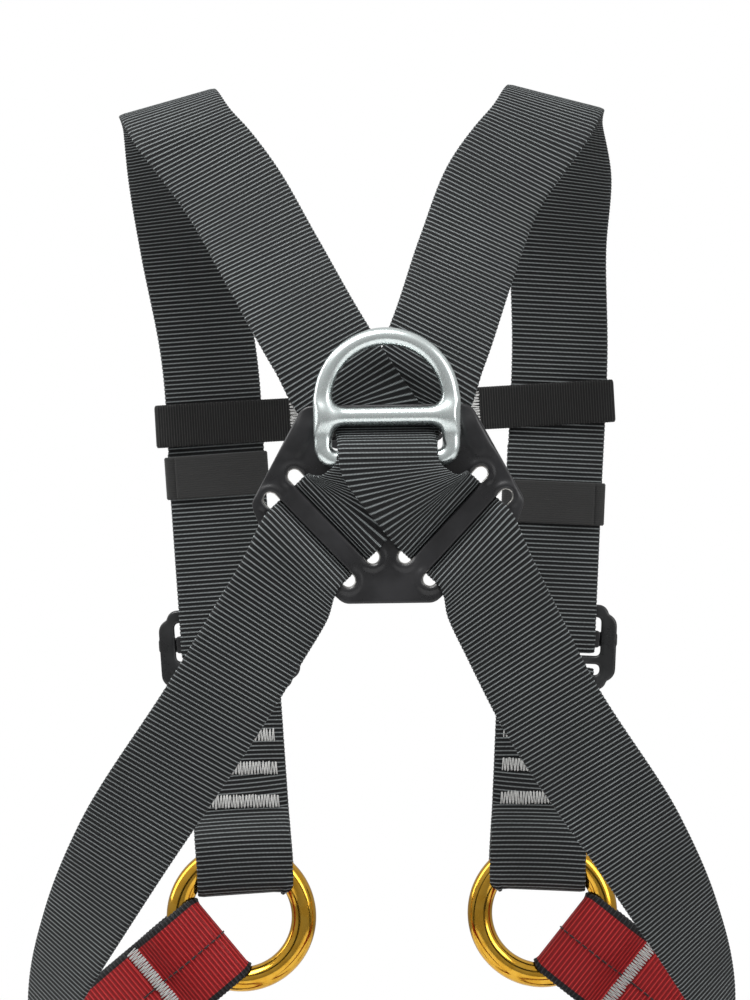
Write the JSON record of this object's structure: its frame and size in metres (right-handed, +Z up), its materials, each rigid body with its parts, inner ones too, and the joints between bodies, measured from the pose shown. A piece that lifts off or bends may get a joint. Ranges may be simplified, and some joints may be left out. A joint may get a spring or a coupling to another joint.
{
  "type": "full-body safety harness",
  "caption": "Full-body fall-arrest harness in its worn shape: crossed back straps through a dorsal plate and ring, chest strap, hip rings and leg loops.",
  "frame": {"origin": "centre of the opening of the dorsal attachment ring, in the ring's middle plane, with the ring lying up against the back", "axes": "+X to the wearer's right, +Y to the wearer's front, +Z up towards the shoulders"},
  "size_m": [0.3228, 0.2061, 0.5999],
  "materials": {
    "plate_black": "satin black coating",
    "zinc_steel": "satin zinc plating",
    "webbing_black": "ribbed woven polyester",
    "webbing_narrow": "fine ribbed woven polyester",
    "webbing_red": "ribbed woven polyester with dark edges",
    "elastic_black": "matte knitted elastic",
    "buckle_black": "satin black coating",
    "bar_black": "satin black coating",
    "anodised_gold": "polished gold anodising",
    "thread_white": "dense zigzag thread",
    "moulded_black": "fine moulded texture"
  },
  "bodies": {
    "root": {"dorsal_plate": "plate_black", "left_main_webbing": "webbing_black", "left_front_strap": "webbing_black", "left_adjuster_frame": "buckle_black", "left_front_bar_tacks": "thread_white", "left_leg_webbing": "webbing_red", "left_leg_bar_tack": "thread_white", "left_leg_buckle_frame": "buckle_black", "left_leg_tab": "webbing_black", "left_hip_stitching": "thread_white", "right_main_webbing": "webbing_black", "right_front_strap": "webbing_black", "right_adjuster_frame": "buckle_black", "right_front_bar_tacks": "thread_white", "right_leg_webbing": "webbing_red", "right_leg_bar_tack": "thread_white", "right_leg_buckle_frame": "buckle_black", "right_leg_tab": "webbing_black", "right_hip_stitching": "thread_white"},
    "dorsal_ring": {"dorsal_ring": "zinc_steel"},
    "left_hip_ring": {"left_hip_ring": "anodised_gold"},
    "left_adjuster_bar": {"left_adjuster_bar": "bar_black"},
    "left_leg_buckle_bar": {"left_leg_buckle_bar": "bar_black"},
    "left_strap_keeper": {"left_strap_keeper": "elastic_black"},
    "left_leg_keeper": {"left_leg_keeper": "elastic_black"},
    "right_hip_ring": {"right_hip_ring": "anodised_gold"},
    "right_adjuster_bar": {"right_adjuster_bar": "bar_black"},
    "right_leg_buckle_bar": {"right_leg_buckle_bar": "bar_black"},
    "right_strap_keeper": {"right_strap_keeper": "elastic_black"},
    "right_leg_keeper": {"right_leg_keeper": "elastic_black"},
    "chest_strap": {"left_chest_webbing": "webbing_narrow", "right_chest_webbing": "webbing_narrow", "left_chest_bar_tack": "thread_white", "right_chest_bar_tack": "thread_white", "chest_buckle_socket": "moulded_black", "chest_buckle_plug": "moulded_black"},
    "upper_prong": {"upper_prong": "moulded_black"},
    "lower_prong": {"lower_prong": "moulded_black"}
  },
  "joints": [
    {"name": "dorsal_ring_swing", "type": "hinge", "parent": "root", "child": "dorsal_ring", "pos_m": [0, 0, -0.0355], "axis": [1, 0, 0], "range_deg": [0, 90]},
    {"name": "left_hip_ring_turn", "type": "hinge", "parent": "root", "child": "left_hip_ring", "pos_m": [-0.0704, 0.186, -0.247], "axis": [0, 1, 0], "continuous": true},
    {"name": "left_adjuster_bar_slide", "type": "slide", "parent": "root", "child": "left_adjuster_bar", "axis": [-0.0567, 0, 0.9984], "range_m": [0, 0.003]},
    {"name": "left_strap_keeper_slide", "type": "slide", "parent": "root", "child": "left_strap_keeper", "axis": [-0.0567, 0, 0.9984], "range_m": [-0.02, 0.003]},
    {"name": "left_leg_buckle_bar_slide", "type": "slide", "parent": "root", "child": "left_leg_buckle_bar", "axis": [0.6225, 0, -0.7826], "range_m": [0, 0.003]},
    {"name": "left_leg_keeper_slide", "type": "slide", "parent": "root", "child": "left_leg_keeper", "axis": [0.6225, 0, -0.7826], "range_m": [-0.004, 0.004]},
    {"name": "right_hip_ring_turn", "type": "hinge", "parent": "root", "child": "right_hip_ring", "pos_m": [0.0704, 0.186, -0.247], "axis": [0, 1, 0], "continuous": true},
    {"name": "right_adjuster_bar_slide", "type": "slide", "parent": "root", "child": "right_adjuster_bar", "axis": [0.0567, 0, 0.9984], "range_m": [0, 0.003]},
    {"name": "right_strap_keeper_slide", "type": "slide", "parent": "root", "child": "right_strap_keeper", "axis": [0.0567, 0, 0.9984], "range_m": [-0.012, 0.012]},
    {"name": "right_leg_buckle_bar_slide", "type": "slide", "parent": "root", "child": "right_leg_buckle_bar", "axis": [-0.6225, 0, -0.7826], "range_m": [0, 0.003]},
    {"name": "right_leg_keeper_slide", "type": "slide", "parent": "root", "child": "right_leg_keeper", "axis": [-0.6225, 0, -0.7826], "range_m": [-0.004, 0.004]},
    {"name": "chest_strap_slide", "type": "slide", "parent": "root", "child": "chest_strap", "axis": [0, 0, 1], "range_m": [-0.003, 0.015]},
    {"name": "upper_prong_press", "type": "hinge", "parent": "chest_strap", "child": "upper_prong", "pos_m": [0.00615, 0.18405, -0.00452], "axis": [0, -1, 0], "range_deg": [0, 6], "stiffness_Nm_per_rad": 0.05},
    {"name": "lower_prong_press", "type": "hinge", "parent": "chest_strap", "child": "lower_prong", "pos_m": [0.00685, 0.18405, -0.02051], "axis": [0, 1, 0], "range_deg": [0, 6], "stiffness_Nm_per_rad": 0.05}
  ]
}
